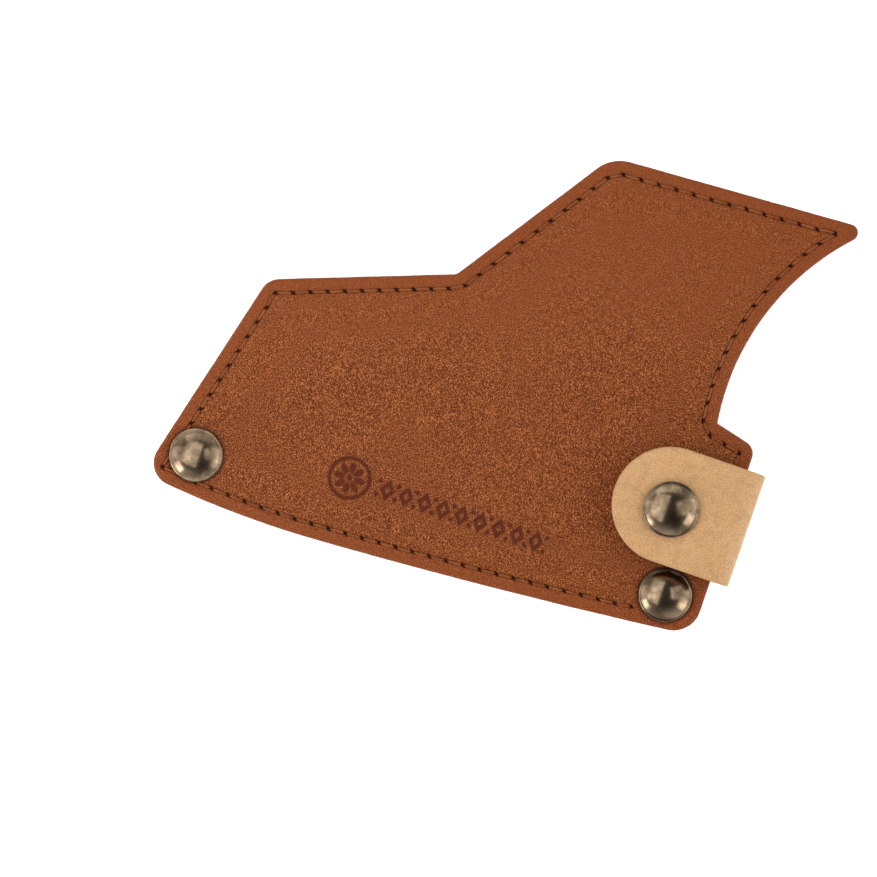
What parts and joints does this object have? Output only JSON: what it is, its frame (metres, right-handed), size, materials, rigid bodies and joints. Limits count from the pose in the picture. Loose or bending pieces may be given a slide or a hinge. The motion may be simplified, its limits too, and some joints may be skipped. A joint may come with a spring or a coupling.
{
  "type": "axe head sheath",
  "caption": "Leather sheath that covers an axe bit, with a welted stitched seam, cap rivets at the ends of the cutting edge, and a strap that snaps across the mouth.",
  "frame": {"origin": "middle of the sheath's plan outline, at the level of the lowest face, which is the strap's anchored end under the back", "axes": "+X runs across the strap's fold towards the mouth edge, +Y up along the fold towards the neck lobe, +Z out of the front face that carries the snap"},
  "size_m": [0.132, 0.1056, 0.0192],
  "materials": {
    "brown_leather": "pebble-grained chestnut brown leather, semi-matte, edges burnished darker",
    "lining_leather": "thin split leather lining, matte, slightly fibrous",
    "welt_leather": "stiff welt leather, burnished edge",
    "strap_leather": "natural vegetable-tanned tan leather, smooth, semi-matte",
    "thread": "waxed brown twisted thread",
    "strap_thread": "waxed tan twisted thread",
    "antique_nickel": "antique nickel plate, polished crown, darker rim",
    "plated_steel": "plated steel, satin",
    "spring_brass": "spring wire, satin"
  },
  "bodies": {
    "sheath": {"front_panel": "brown_leather", "back_panel": "brown_leather", "front_lining": "lining_leather", "back_lining": "lining_leather", "edge_welt": "welt_leather", "heel_welt": "welt_leather", "strap_base": "strap_leather", "seam_needle_thread": "thread", "seam_bobbin_thread": "thread", "front_hem_needle_thread": "thread", "front_hem_bobbin_thread": "thread", "back_hem_needle_thread": "thread", "back_hem_bobbin_thread": "thread", "strap_anchor_needle_thread": "strap_thread", "strap_anchor_bobbin_thread": "strap_thread", "toe_rivet_cap": "antique_nickel", "heel_rivet_cap": "antique_nickel", "toe_rivet_base": "antique_nickel", "heel_rivet_base": "antique_nickel", "snap_stud": "antique_nickel", "toe_rivet_tube": "plated_steel", "heel_rivet_tube": "plated_steel", "toe_rivet_post": "plated_steel", "heel_rivet_post": "plated_steel", "snap_stud_post": "plated_steel"},
    "strap_link": {"strap_link": "strap_leather"},
    "strap_tab": {"strap_tab": "strap_leather", "snap_cap": "antique_nickel", "snap_cap_post": "plated_steel", "snap_socket": "antique_nickel", "snap_ring_spring": "spring_brass"}
  },
  "joints": [
    {"name": "lower_fold", "type": "hinge", "parent": "sheath", "child": "strap_link", "pos_m": [0.0628, -0.01954, 0.00111], "axis": [0, 1, 0], "range_deg": [0, 60]},
    {"name": "upper_fold", "type": "hinge", "parent": "strap_link", "child": "strap_tab", "pos_m": [0.0628, -0.01954, 0.01539], "axis": [0, 1, 0], "range_deg": [0, 120], "deforming": ["snap_ring_spring"]}
  ],
  "couplings": [
    {"joint": "lower_fold", "follows": "upper_fold", "ratio": 0.5}
  ]
}
